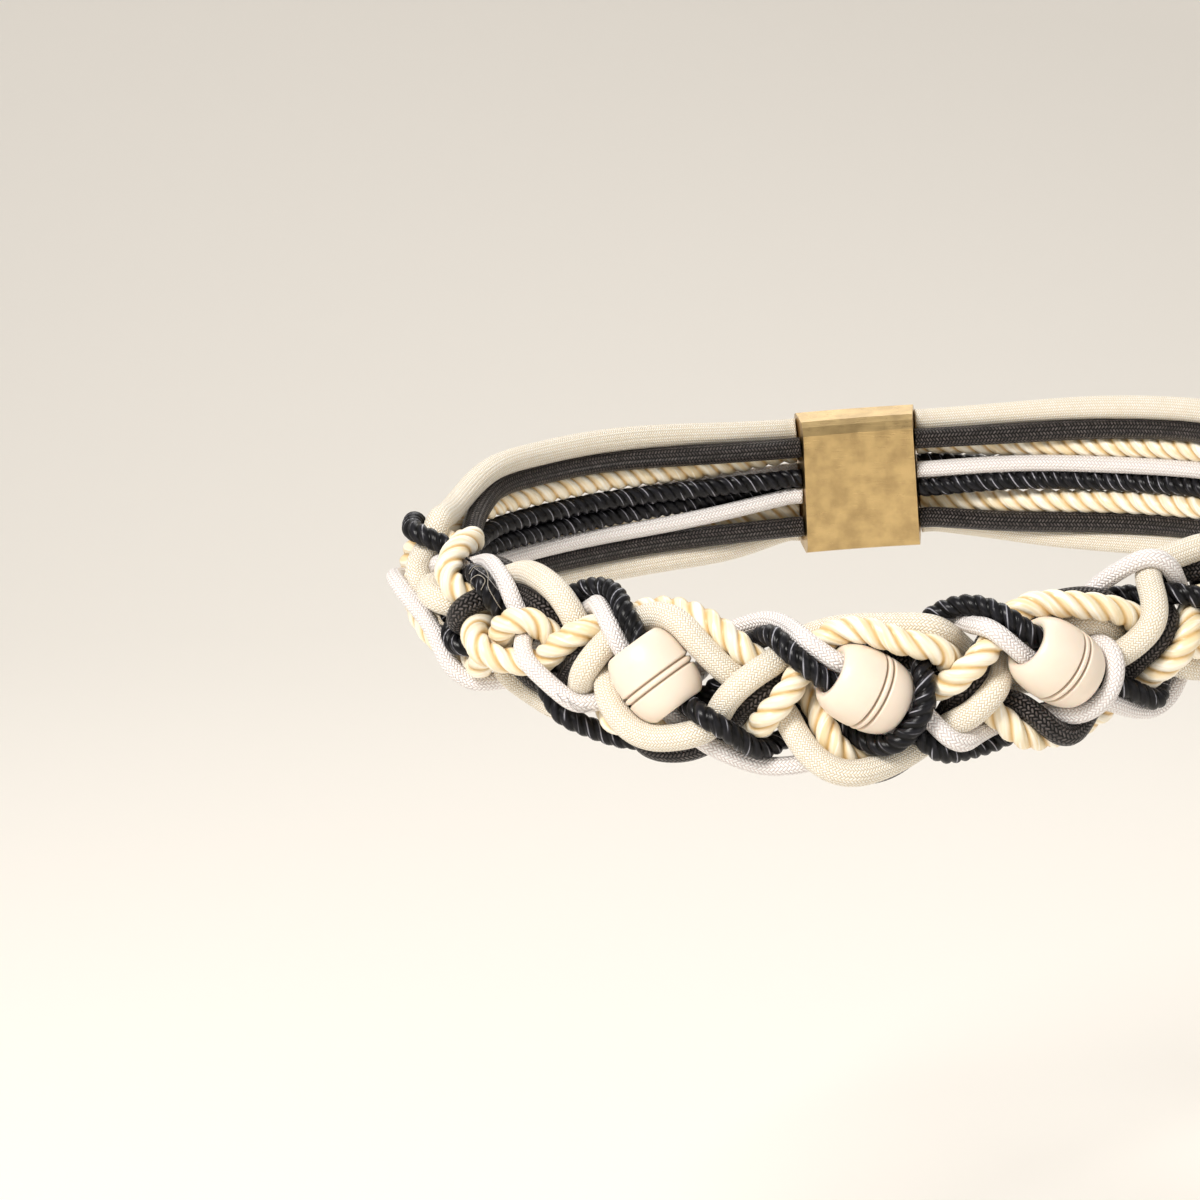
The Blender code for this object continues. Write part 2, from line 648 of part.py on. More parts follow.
def main():
    """Build the whole belt."""
    clear_scene()
    waist = Waist()
    plait = Plait(waist)
    plait.draw_up()
    for cord, points in zip(CORDS, plait.points):
        build_cord(cord, points)
    for bead in plait.beads:
        build_bead(bead)
    build_clasp(waist)


main()
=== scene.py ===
"""Looks of a plaited cord belt with three barrel beads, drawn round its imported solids.

The solids give each cord's way through the plait and each bead's place. Every cord is
drawn again along its own way, settled more finely, with the section and the surface of
its kind: twisted ropes of satin plies, and round braids. A few loose fibres lie on the
cords, and the beads are turned again with their two grooves.

Lengths are in metres, +Z is up and the beads face -Y.
"""

import logging
import math
from dataclasses import dataclass
from enum import Enum
from typing import ClassVar, Optional, Sequence

import bmesh
import bpy
import numpy as np
from mathutils import Matrix, Vector
from mathutils.kdtree import KDTree


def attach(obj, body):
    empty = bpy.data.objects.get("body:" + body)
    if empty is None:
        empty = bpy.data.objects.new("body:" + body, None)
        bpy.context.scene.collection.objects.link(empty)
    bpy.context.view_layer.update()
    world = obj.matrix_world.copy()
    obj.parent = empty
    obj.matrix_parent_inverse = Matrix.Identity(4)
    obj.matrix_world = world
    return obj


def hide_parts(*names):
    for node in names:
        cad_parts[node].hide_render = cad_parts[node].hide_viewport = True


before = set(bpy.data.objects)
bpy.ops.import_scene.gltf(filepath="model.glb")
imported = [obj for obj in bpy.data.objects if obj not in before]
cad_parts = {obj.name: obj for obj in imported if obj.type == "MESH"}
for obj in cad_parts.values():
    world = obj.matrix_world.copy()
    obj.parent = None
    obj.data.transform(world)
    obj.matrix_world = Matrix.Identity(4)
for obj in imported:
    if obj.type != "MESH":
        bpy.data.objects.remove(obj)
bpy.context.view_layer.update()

LOG = logging.getLogger("belt")
BODY = "root"
IMAGE_SIDE = 1200

Colour = tuple[float, float, float]
Socket = bpy.types.NodeSocket
Material = bpy.types.Material


class Weave(Enum):
    """How a cord is made."""

    TWISTED = "twisted"
    BRAIDED = "braided"


class Graph:
    """A node tree in the making.

    Args:
        tree: The tree to add nodes to.
    """

    def __init__(self, tree: bpy.types.NodeTree) -> None:
        """Keep the tree."""
        self.tree = tree

    def node(self, kind: str, given: Optional[dict] = None, **settings: object) -> bpy.types.Node:
        """Add a node, set its properties and feed its inputs.

        Args:
            kind: The node's type name.
            given: Values or sockets for its inputs, by name or number.
            settings: Properties of the node by name.

        Returns:
            The new node.
        """
        made = self.tree.nodes.new(kind)
        for name, value in settings.items():
            setattr(made, name, value)
        for key, value in (given or {}).items():
            self.feed(made.inputs[key], value)
        return made

    def feed(self, socket: Socket, value: object) -> None:
        """Link a socket to another, or set its own value.

        Args:
            socket: The input that is fed.
            value: An output socket or a plain value.
        """
        if isinstance(value, Socket):
            self.tree.links.new(value, socket)
        else:
            socket.default_value = value

    def math(self, operation: str, *values: object) -> Socket:
        """Work out an operation on sockets or numbers."""
        return self.node("ShaderNodeMath", dict(enumerate(values)), operation=operation).outputs[0]

    def times(self, first: object, second: object) -> Socket:
        """Multiply two sockets or numbers."""
        return self.math("MULTIPLY", first, second)

    def spread(self, value: object, low: float, high: float) -> Socket:
        """Turn the range from low to high into 0 to 1, smoothly."""
        given = {"Value": value, "From Min": low, "From Max": high}
        return self.node("ShaderNodeMapRange", given, interpolation_type="SMOOTHSTEP").outputs[0]

    def mix(self, share: object, first: object, second: object) -> Socket:
        """Mix two colours by the share of the second."""
        given = {0: share, 6: first, 7: second}
        return self.node("ShaderNodeMix", given, data_type="RGBA").outputs[2]

    def blend(self, share: object, first: object, second: object) -> Socket:
        """Blend two values by the share of the second."""
        given = {0: share, 2: first, 3: second}
        return self.node("ShaderNodeMix", given, data_type="FLOAT").outputs[0]

    def noise(self, place: Socket, scale: float, detail: float) -> Socket:
        """Read a noise, which is about 0.5 in the middle, at a place."""
        given = {"Vector": place, "Scale": scale, "Detail": detail}
        return self.node("ShaderNodeTexNoise", given, noise_dimensions="3D").outputs["Fac"]

    def place(self, x: object, y: object, z: object = 0.0) -> Socket:
        """Join three values to a vector."""
        return self.node("ShaderNodeCombineXYZ", {0: x, 1: y, 2: z}).outputs[0]

    def parts(self, vector: Socket) -> bpy.types.NodeOutputs:
        """Part a vector into its three values."""
        return self.node("ShaderNodeSeparateXYZ", {0: vector}).outputs

    def route(self) -> tuple[Socket, Socket]:
        """Read a cord's own coordinates: the way round it, and along it in metres."""
        own = self.parts(self.node("ShaderNodeUVMap", uv_map="route").outputs[0])
        return own[0], own[1]


class Surface(Graph):
    """A new material and the nodes that paint it.

    Args:
        name: The material's name.
    """

    def __init__(self, name: str) -> None:
        """Make the material, with its plain shader."""
        self.material = bpy.data.materials.new(name)
        self.material.use_nodes = True
        super().__init__(self.material.node_tree)
        self.shader = self.tree.nodes["Principled BSDF"]

    def group(self, shared: bpy.types.NodeTree, **values: float) -> bpy.types.NodeOutputs:
        """Place a shared node group with this surface's own values."""
        return self.node("ShaderNodeGroup", values, node_tree=shared).outputs

    def dress(self, tint: Socket, height: Socket, relief: float, **values: object) -> Material:
        """Give the shader its colour, its relief and its other values.

        Args:
            tint: The colour that it shows.
            height: What raises its relief.
            relief: The relief's height.
            values: Values or sockets of its inputs, with _ in place of a space.

        Returns:
            The finished material.
        """
        bump = self.node("ShaderNodeBump", {"Distance": relief, "Height": height})
        given = {"Base_Color": tint, "Normal": bump.outputs[0], **values}
        for name, value in given.items():
            self.feed(self.shader.inputs[name.replace("_", " ")], value)
        return self.material


def start_group(name: str, inputs: Sequence[str], outputs: Sequence[str]) -> tuple:
    """Make an empty node group.

    Args:
        name: The group's name.
        inputs: Names of its value inputs.
        outputs: Names of its value outputs.

    Returns:
        The group, its graph, its input node and its output node.
    """
    group = bpy.data.node_groups.new(name, "ShaderNodeTree")
    for way, labels in (("INPUT", inputs), ("OUTPUT", outputs)):
        for label in labels:
            group.interface.new_socket(label, in_out=way, socket_type="NodeSocketFloat")
    graph = Graph(group)
    return group, graph, graph.node("NodeGroupInput"), graph.node("NodeGroupOutput")


def braid_group() -> bpy.types.NodeTree:
    """Make the shared relief of braided cords: each yarn passes over two and under two.

    Returns:
        A group that gives the relief's height, how open a place lies, and a value for
        each stitch.
    """
    group, graph, given, result = start_group(
        "braid_relief", ("Around", "Along"), ("Height", "Open", "Yarn")
    )
    around, along = graph.route()
    across = graph.times(around, given.outputs["Around"])
    forward = graph.times(along, given.outputs["Along"])
    lines = (graph.math("ADD", across, forward), graph.math("SUBTRACT", across, forward))
    cells = [graph.math("FLOOR", line) for line in lines]
    twill, lowest = 4.0, 0.0001
    turn = graph.math("FLOORED_MODULO", graph.math("ADD", *cells), twill)
    over = graph.math("LESS_THAN", turn, twill / 2)
    heights, yarns = [], []
    for mine, other, shift in ((0, 1, 0.0), (1, 0, twill / 2)):
        way = graph.math("SUBTRACT", graph.math("ADD", lines[mine], cells[other]), shift)
        stitch = graph.times(graph.math("FLOORED_MODULO", way, twill), math.pi / 2)
        rise = graph.math("MAXIMUM", graph.math("SINE", stitch), lowest)
        width = graph.times(graph.math("FRACT", lines[other]), math.pi)
        crown = graph.math("MAXIMUM", graph.math("SINE", width), lowest)
        rise, crown = graph.math("POWER", rise, 0.6), graph.math("POWER", crown, 0.7)
        heights.append(graph.times(rise, crown))
        rank = graph.math("FLOOR", graph.times(way, 1 / twill))
        own = {"Vector": graph.place(cells[other], rank, shift)}
        random = graph.node("ShaderNodeTexWhiteNoise", own, noise_dimensions="3D")
        yarns.append(random.outputs["Value"])
    height = graph.blend(over, heights[1], heights[0])
    fine = graph.times(graph.blend(over, lines[0], lines[1]), 8 * math.pi)
    fibres = graph.times(graph.math("SINE", fine), 0.04)
    graph.feed(result.inputs["Height"], graph.math("ADD", height, fibres))
    graph.feed(result.inputs["Open"], graph.spread(height, 0.05, 0.75))
    graph.feed(result.inputs["Yarn"], graph.blend(over, yarns[1], yarns[0]))
    return group


def ply_group() -> bpy.types.NodeTree:
    """Make the shared surface of twisted plies: fine fibres that lie along them.

    Returns:
        A group that gives the fibres' height and the masks of the painted shade in the
        grooves, the painted satin sheen and the painted highlight line near the crest.
    """
    group, graph, given, result = start_group(
        "ply_fibres", ("Fineness", "Slant"), ("Height", "Groove", "Streak", "Crest")
    )
    around, along = graph.route()
    slanted = graph.math("ADD", around, graph.times(along, given.outputs["Slant"]))
    fine = graph.times(slanted, given.outputs["Fineness"])
    broad = graph.times(fine, 0.38)
    stretched = graph.times(along, 60.0)
    across, ply = graph.math("FRACT", around), graph.math("FLOOR", around)
    # each ply reads its own part of a noise, so that no ply repeats its neighbour
    parts = [graph.times(ply, apart) for apart in (3.7, 5.3, 7.7)]
    fibres = graph.noise(graph.place(fine, stretched, parts[0]), 1.0, 3.0)
    streaks_and_sheen = graph.noise(graph.place(broad, stretched, parts[1]), 1.0, 2.0)
    lower, upper = graph.times(fibres, 0.4), graph.times(streaks_and_sheen, 0.6)
    graph.feed(result.inputs["Height"], graph.math("ADD", lower, upper))
    aside = graph.math("ABSOLUTE", graph.math("SUBTRACT", across, 0.5))
    # painted shade: this mask grows towards the groove between two plies
    graph.feed(result.inputs["Groove"], graph.spread(aside, 0.26, 0.5))
    # painted satin sheen: this mask picks out brighter fibre lines at random
    wide, thin = graph.spread(streaks_and_sheen, 0.38, 0.62), graph.spread(fibres, 0.36, 0.64)
    graph.feed(result.inputs["Streak"], graph.blend(0.5, wide, thin))
    # the painted highlight line wanders about the crest and shows only in places
    slips = graph.times(graph.noise(graph.place(ply, stretched, 2.6), 2.2, 1.0), 0.5)
    beside = graph.math("SUBTRACT", across, graph.math("ADD", slips, 0.27))
    line = graph.spread(graph.math("ABSOLUTE", beside), 0.075, 0.015)
    marks = graph.place(parts[2], graph.times(along, 230.0))
    shown = graph.spread(graph.noise(marks, 1.0, 1.0), 0.46, 0.60)
    graph.feed(result.inputs["Crest"], graph.times(line, shown))
    return group


@dataclass(frozen=True)
class BraidFinish:
    """Finish of a round braid.

    Args:
        name: The material's name.
        crest: Colour of the yarns.
        painted_highlight: Colour of the painted highlight on the middle of the stitches.
        groove: Colour between them, a painted shade in the hollows between the yarns.
        around: Crossings round the cord.
        along: Crossings for each metre of its length.
        relief: Height of the yarns.
        roughness: How dull they are.
        sheen: Strength of the soft edge light.
        gloss: Strength of the reflections.
        focus: How narrowly the painted highlight keeps to the middle of a stitch.
    """

    name: str
    crest: Colour
    painted_highlight: Colour
    groove: Colour
    around: int
    along: float
    relief: float
    roughness: float
    sheen: float = 0.0
    gloss: float = 0.5
    focus: float = 2.0

    def material(self, relief: bpy.types.NodeTree) -> Material:
        """Make the material.

        Args:
            relief: The shared group of the braid's relief.

        Returns:
            The new material.
        """
        surface = Surface(self.name)
        braid = surface.group(relief, Around=self.around, Along=self.along)
        # painted shade: the low places between the yarns take the groove colour
        tint = surface.mix(braid["Open"], (*self.groove, 1), (*self.crest, 1))
        # painted highlight on the raised middle of each stitch, stronger on some yarns at random
        lively = surface.math("ADD", surface.times(braid["Yarn"], 0.6), 0.3)
        share = surface.times(lively, surface.math("POWER", braid["Open"], self.focus))
        return surface.dress(
            surface.mix(share, tint, (*self.painted_highlight, 1)),
            braid["Height"],
            self.relief,
            Roughness=self.roughness,
            Sheen_Weight=self.sheen,
            Sheen_Roughness=0.4,
            Specular_IOR_Level=self.gloss,
        )


@dataclass(frozen=True)
class PlyFinish:
    """Finish of a twisted rope of shiny plies.

    Args:
        name: The material's name.
        crest: Colour on top of the plies.
        groove: Colour in the grooves between them, a painted shade.
        streak: Colour of the painted satin sheen, laid along random fibre lines.
        sheen_streak_share: How strongly that painted sheen shows.
        painted_glint: Colour of the painted highlight lines along the crests.
        painted_glint_share: How strongly the painted highlight lines show.
        fineness: How many fibres lie across a ply.
        slant: How fast the fibres cross a ply, in plies for each metre.
        relief: Height of the fibres.
        roughness: How dull they are.
        gloss: Strength of the reflections.
    """

    name: str
    crest: Colour
    groove: Colour
    streak: Colour
    sheen_streak_share: float
    painted_glint: Colour
    painted_glint_share: float
    fineness: float
    slant: float
    relief: float
    roughness: float
    gloss: float

    def material(self, fibres: bpy.types.NodeTree) -> Material:
        """Make the material.

        Args:
            fibres: The shared group of the plies' fibres.

        Returns:
            The new material.
        """
        surface = Surface(self.name)
        ply = surface.group(fibres, Fineness=self.fineness, Slant=self.slant)
        # painted satin sheen on the fibre lines
        streaks_and_sheen = surface.times(ply["Streak"], self.sheen_streak_share)
        tint = surface.mix(streaks_and_sheen, (*self.crest, 1), (*self.streak, 1))
        # painted shade in the grooves between the plies
        tint = surface.mix(ply["Groove"], tint, (*self.groove, 1))
        # painted highlight lines along the ply crests
        painted_glints = surface.times(ply["Crest"], self.painted_glint_share)
        return surface.dress(
            surface.mix(painted_glints, tint, (*self.painted_glint, 1)),
            ply["Height"],
            self.relief,
            Roughness=self.roughness,
            Specular_IOR_Level=self.gloss,
        )


def circle(count: int) -> np.ndarray:
    """Return the points of a circle of radius 1, evenly spaced."""
    angles = 2 * math.pi * np.arange(count) / count
    return np.stack([np.cos(angles), np.sin(angles)], axis=1)


@dataclass(frozen=True)
class CordKind:
    """A kind of cord.

    Args:
        slot: The record's slot for its finish.
        radius: Its outer radius.
        weave: How it is made.
        sides: Points of its section, for each ply on a twisted rope.
        step: The way from one section to the next.
        plies: Plies of a twisted rope.
        pitch: The way in which its plies turn once.
        fullness: How far a ply's own circle stands out, as a share of the radius.
    """

    slot: str
    radius: float
    weave: Weave
    sides: int
    step: float
    plies: int = 1
    pitch: float = 1.0
    fullness: float = 0.34

    def section(self) -> tuple[np.ndarray, np.ndarray]:
        """Return the section's points and how far round each is.

        Returns:
            Points across the cord, and their way round, which counts plies on a rope.
        """
        count = self.sides * self.plies
        around = np.arange(count + 1) / self.sides
        reach = np.full(count, self.radius)
        if self.weave is Weave.TWISTED:
            offset = self.fullness * self.radius
            aside = (np.mod(around[:-1], 1.0) - 0.5) * 2 * math.pi / self.plies
            own = self.radius - offset
            reach = offset * np.cos(aside) + np.sqrt(own ** 2 - (offset * np.sin(aside)) ** 2)
        return circle(count) * reach[:, None], around


KINDS = {
    kind.slot: kind
    for kind in (
        CordKind("black_rope", 0.0033, Weave.TWISTED, 9, 0.0007, 3, 0.0115, 0.30),
        CordKind("white_cord", 0.0028, Weave.BRAIDED, 16, 0.0010),
        CordKind("cream_cord", 0.0040, Weave.BRAIDED, 20, 0.0010),
        CordKind("black_braid", 0.0035, Weave.BRAIDED, 18, 0.0010),
        CordKind("cream_rope", 0.0042, Weave.TWISTED, 12, 0.0009, 3, 0.0182),
    )
}


WELD_GRID = 2e5  # cells for each metre: corners in one cell of 5 microns are one corner
END_DEPTH = 0.003  # a cord's end section lies no deeper than this


def welded(node: bpy.types.Object) -> tuple[np.ndarray, np.ndarray]:
    """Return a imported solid's own corners and the edges that join them.

    Args:
        node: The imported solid, whose triangles are loose.

    Returns:
        The corners, and pairs of their numbers, each pair both ways.
    """
    mesh = node.data
    places = np.empty(len(mesh.vertices) * 3)
    mesh.vertices.foreach_get("co", places)
    places = places.reshape(-1, 3)
    cells = np.round(places * WELD_GRID).astype(np.int64)
    keys, number = np.unique(cells, axis=0, return_inverse=True)
    number = number.ravel()
    corners = np.zeros((len(keys), 3))
    np.add.at(corners, number, places)
    corners /= np.bincount(number, minlength=len(keys))[:, None]
    mesh.calc_loop_triangles()
    ids = np.empty(len(mesh.loop_triangles) * 3, np.int64)
    mesh.loop_triangles.foreach_get("vertices", ids)
    triangles = number[ids].reshape(-1, 3)
    edges = np.concatenate([triangles[:, [0, 1]], triangles[:, [1, 2]], triangles[:, [2, 0]]])
    return corners, np.concatenate([edges, edges[:, ::-1]])


def centre_line(node: bpy.types.Object) -> np.ndarray:
    """Return the points that a packed cord runs through, from its left end on.

    Args:
        node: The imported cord.

    Returns:
        The middle of each of its sections, in order.
    """
    corners, edges = welded(node)
    here, there = edges.T
    at_back = (corners[:, 1] > 0) & (corners[:, 0] < 0)
    last_x = corners[at_back, 0].max()
    rank = np.full(len(corners), -1)
    rank[at_back & (corners[:, 0] > last_x - END_DEPTH)] = 0
    level = 0
    while len(found := there[(rank[here] == level) & (rank[there] < 0)]):
        level += 1
        rank[found] = level
    total, met = np.zeros((level + 1, 3)), rank >= 0
    np.add.at(total, rank[met], corners[met])
    return total / np.bincount(rank[met])[:, None]


def way_along(points: np.ndarray) -> np.ndarray:
    """Return how far along a line each of its points lies."""
    ways = np.linalg.norm(np.diff(points, axis=0), axis=1)
    return np.concatenate([[0.0], np.cumsum(ways)])


def resampled(points: np.ndarray, step: float) -> np.ndarray:
    """Return a line's points again, evenly spaced.

    Args:
        points: The line's points.
        step: About the way between the new ones.

    Returns:
        The new points.
    """
    along = way_along(points)
    count = max(2, round(along[-1] / step) + 1)
    wanted = np.linspace(0, along[-1], count)
    return np.stack([np.interp(wanted, along, points[:, axis]) for axis in range(3)], axis=1)


def rounded(points: np.ndarray, parts: int) -> np.ndarray:
    """Return a smooth curve through a line's points.

    Args:
        points: The line's points.
        parts: New stretches for each old one.

    Returns:
        The curve's points.
    """
    padded = np.concatenate([[2 * points[0] - points[1]], points, [2 * points[-1] - points[-2]]])
    share = (np.arange(parts) / parts)[None, :, None]
    before, start, end, after = (padded[rank : len(padded) - 3 + rank, None] for rank in range(4))
    slope, other = (end - before) / 2, (after - start) / 2
    square, cube = share ** 2, share ** 3
    curve = (2 * cube - 3 * square + 1) * start + (cube - 2 * square + share) * slope
    curve = curve + (3 * square - 2 * cube) * end + (cube - square) * other
    return np.concatenate([curve.reshape(-1, 3), points[-1:]])


@dataclass
class Bead:
    """A barrel bead on its cords.

    Args:
        name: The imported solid's name.
        centre: Its middle.
        bore: The direction of its bore, towards the right.
        radius: Its outer radius.
        half: Half its length along the bore.
        rim: The radius of its ends.
        hole: The radius of its bore.
    """

    name: str
    centre: np.ndarray
    bore: np.ndarray
    radius: float
    half: float
    rim: float
    hole: float

    CORE_SHARE: ClassVar[float] = 0.30
    RIM_DEPTH: ClassVar[float] = 1e-4

    @classmethod
    def read(cls, name: str, lines: Sequence[np.ndarray]) -> "Bead":
        """Find a packed bead's place and size.

        Args:
            name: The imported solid's name.
            lines: The cords' centre lines.

        Returns:
            The bead.
        """
        corners, _ = welded(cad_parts[name])
        centre = corners.mean(0)
        middle = (centre + (corners.max(0) + corners.min(0)) / 2) / 2
        best = min(lines, key=lambda line: np.linalg.norm(line - middle, axis=1).min())
        spot = int(np.argmin(np.linalg.norm(best - middle, axis=1)))
        bore = best[spot + 1] - best[spot - 1]
        bore /= np.linalg.norm(bore)
        along = (corners - centre) @ bore
        out = np.linalg.norm(corners - centre - along[:, None] * bore, axis=1)
        half = float(np.abs(along).max())
        ends = out[np.abs(along) > half - cls.RIM_DEPTH]
        rim, hole = float(ends.max()), float(ends.min())
        return cls(name, centre, bore, float(out.max()), half, rim, hole)

    def core(self) -> np.ndarray:
        """Return the ends of the line that other cords keep the bead's radius off."""
        reach = self.bore * self.half * self.CORE_SHARE
        return np.array([self.centre - reach, self.centre + reach])

    def inside(self, points: np.ndarray) -> np.ndarray:
        """Tell which points lie in the bore.

        Args:
            points: The points to test.

        Returns:
            A truth value for each point.
        """
        along = (points - self.centre) @ self.bore
        out = np.linalg.norm(points - self.centre - along[:, None] * self.bore, axis=1)
        return (np.abs(along) < self.half) & (out < self.hole)


@dataclass
class Strand:
    """One cord of the plait.

    Args:
        name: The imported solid's name.
        kind: What kind of cord it is.
        points: Its centre line.
        held: Which of its points stay where they are.
    """

    name: str
    kind: CordKind
    points: np.ndarray
    held: np.ndarray


class Plait:
    """All the cords of the belt, settled against each other and the beads.

    Args:
        names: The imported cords' names.
        bead_names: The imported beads' names.
    """

    ROUNDS, QUICK_ROUNDS = 90, 40
    STEP = 0.0018  # between two points of a cord
    HELD_AT_ENDS = 6  # points of each end that stay in the clasp
    SQUASH = 0.93  # two cords may come this near, as a share of their radii
    BEAD_SQUASH = 0.97  # the same for a cord on a bead
    STIFFNESS = 0.10
    TENSION = 0.12
    PUSH = 1.2
    MOST_MOVED = 0.0035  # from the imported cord
    NEAR = 0.0100
    NEAR_ON_CORD = 14  # points this near along one cord don't push each other
    SEARCH_EVERY = 12

    def __init__(self, names: Sequence[str], bead_names: Sequence[str]) -> None:
        """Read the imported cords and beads."""
        raw = [centre_line(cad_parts[name]) for name in names]
        self.beads = [Bead.read(name, raw) for name in bead_names]
        self.strands: list[Strand] = []
        for name, line in zip(names, raw):
            points = resampled(rounded(line, 6), self.STEP)
            held = np.zeros(len(points), bool)
            held[: self.HELD_AT_ENDS] = held[-self.HELD_AT_ENDS :] = True
            for bead in self.beads:
                held |= bead.inside(points)
            self.strands.append(Strand(name, KINDS[name.rsplit("_", 1)[0]], points, held))
        sizes = [len(strand.points) for strand in self.strands]
        self.starts = np.concatenate([[0], np.cumsum(sizes)])
        self.owner = np.repeat(np.arange(len(sizes)), sizes)
        self.rank = np.concatenate([np.arange(size) for size in sizes])
        self.free = ~np.concatenate([strand.held for strand in self.strands])
        self.radii = np.array([self.strands[number].kind.radius for number in self.owner])

    def settle(self, rounds: int) -> None:
        """Smooth the cords and push them off each other and the beads.

        Args:
            rounds: How many times.
        """
        points = np.concatenate([strand.points for strand in self.strands])
        first_place = points.copy()
        for sweep in range(rounds):
            if sweep % self.SEARCH_EVERY == 0:
                pairs = self.close_pairs(points)
            pull = min(1.0, 2.0 - 2.0 * sweep / rounds)
            for start, end in zip(self.starts, self.starts[1:]):
                self.smooth(points[start:end], self.free[start:end], pull)
            self.part(points, pairs)
            self.clear_beads(points)
            moved = points - first_place
            length = np.maximum(np.linalg.norm(moved, axis=1, keepdims=True), 1e-9)
            points = first_place + moved * np.minimum(1.0, self.MOST_MOVED / length)
        for strand, start, end in zip(self.strands, self.starts, self.starts[1:]):
            strand.points = points[start:end]

    def close_pairs(self, points: np.ndarray) -> np.ndarray:
        """Return the pairs of points that are near each other, but not along one cord.

        Args:
            points: All the points.

        Returns:
            Pairs of numbers.
        """
        tree = KDTree(len(points))
        for number, point in enumerate(points):
            tree.insert(point, number)
        tree.balance()
        pairs = []
        for number, point in enumerate(points):
            near = tree.find_range(point, self.NEAR)
            pairs += [(number, other) for _, other, _ in near if other > number]
        first, second = np.array(pairs).T
        crossing = self.owner[first] != self.owner[second]
        crossing |= self.rank[second] - self.rank[first] > self.NEAR_ON_CORD
        return np.stack([first, second], axis=1)[crossing]

    def smooth(self, points: np.ndarray, free: np.ndarray, pull: float) -> None:
        """Take the kinks out of a cord and draw it taut.

        Args:
            points: The cord's points, which are changed.
            free: Which of them may move.
            pull: The share of the full tension.
        """
        bend = np.zeros_like(points)
        bend[1:-1] = points[:-2] - 2 * points[1:-1] + points[2:]
        change = np.zeros_like(points)
        change[1:-1] = bend[:-2] - 2 * bend[1:-1] + bend[2:]
        points[free] += self.TENSION * pull * bend[free] - self.STIFFNESS * change[free]

    def part(self, points: np.ndarray, pairs: np.ndarray) -> None:
        """Push near points apart until they have room.

        Args:
            points: All the points, which are changed.
            pairs: The pairs to test.
        """
        first, second = pairs.T
        between = points[first] - points[second]
        apart = np.maximum(np.linalg.norm(between, axis=1), 1e-6)
        room = (self.radii[first] + self.radii[second]) * self.SQUASH
        short = np.maximum(room - apart, 0.0)
        close = short > 0
        first, second = first[close], second[close]
        push = between[close] / apart[close, None] * short[close, None] / 2
        count = len(points)
        total = np.zeros_like(points)
        hits = np.bincount(first, minlength=count) + np.bincount(second, minlength=count)
        for axis in range(3):
            total[:, axis] += np.bincount(first, weights=push[:, axis], minlength=count)
            total[:, axis] -= np.bincount(second, weights=push[:, axis], minlength=count)
        change = self.PUSH * total / np.maximum(hits, 1)[:, None]
        points += np.where(self.free[:, None], change, 0.0)

    def clear_beads(self, points: np.ndarray) -> None:
        """Push the cords off the beads that they don't run through.

        Args:
            points: All the points, which are changed.
        """
        for bead in self.beads:
            threaded = [bead.inside(strand.points).any() for strand in self.strands]
            loose = self.free & ~np.array(threaded)[self.owner]
            start, end = bead.core()
            way = end - start
            share = np.clip((points - start) @ way / (way @ way), 0, 1)
            between = points - start - share[:, None] * way
            apart = np.linalg.norm(between, axis=1)
            room = bead.radius + self.radii * self.BEAD_SQUASH
            short = np.maximum(room - apart, 0.0) * loose
            points += between / apart[:, None] * short[:, None]


def turned_frames(points: np.ndarray) -> tuple[np.ndarray, np.ndarray]:
    """Return two directions across a line that turn no more than they must.

    Args:
        points: The line's points.

    Returns:
        The two directions at each point.
    """
    ahead = np.gradient(points, axis=0)
    ahead /= np.linalg.norm(ahead, axis=1, keepdims=True)
    side = np.empty_like(points)
    start = np.cross(ahead[0], [0.0, 0.0, 1.0])
    side[0] = start / np.linalg.norm(start)
    for rank in range(1, len(points)):
        carried = side[rank - 1] - ahead[rank] * (side[rank - 1] @ ahead[rank])
        side[rank] = carried / math.sqrt(carried @ carried)
    return side, np.cross(ahead, side)


def swept(line: np.ndarray, section: np.ndarray, turn: np.ndarray) -> np.ndarray:
    """Return the points of a section that is swept along a line.

    Args:
        line: The line's points.
        section: The section's points, across the line.
        turn: How far the section is turned at each point of the line.

    Returns:
        The points, one section after the other.
    """
    side, up = turned_frames(line)
    cos, sin = np.cos(turn)[:, None], np.sin(turn)[:, None]
    across = section[None, :, 0] * cos - section[None, :, 1] * sin
    upward = section[None, :, 0] * sin + section[None, :, 1] * cos
    rings = line[:, None] + across[..., None] * side[:, None] + upward[..., None] * up[:, None]
    return rings.reshape(-1, 3)


def new_mesh_object(
    name: str, points: np.ndarray, faces: Sequence, material: Material
) -> bpy.types.Object:
    """Make an object from points and faces.

    Args:
        name: Its name.
        points: Its points.
        faces: Numbers of the points of each face.
        material: Its material.

    Returns:
        The new object.
    """
    mesh = bpy.data.meshes.new(name)
    mesh.from_pydata(points.tolist(), [], faces)
    mesh.materials.append(material)
    made = bpy.data.objects.new(name, mesh)
    bpy.context.scene.collection.objects.link(made)
    return made


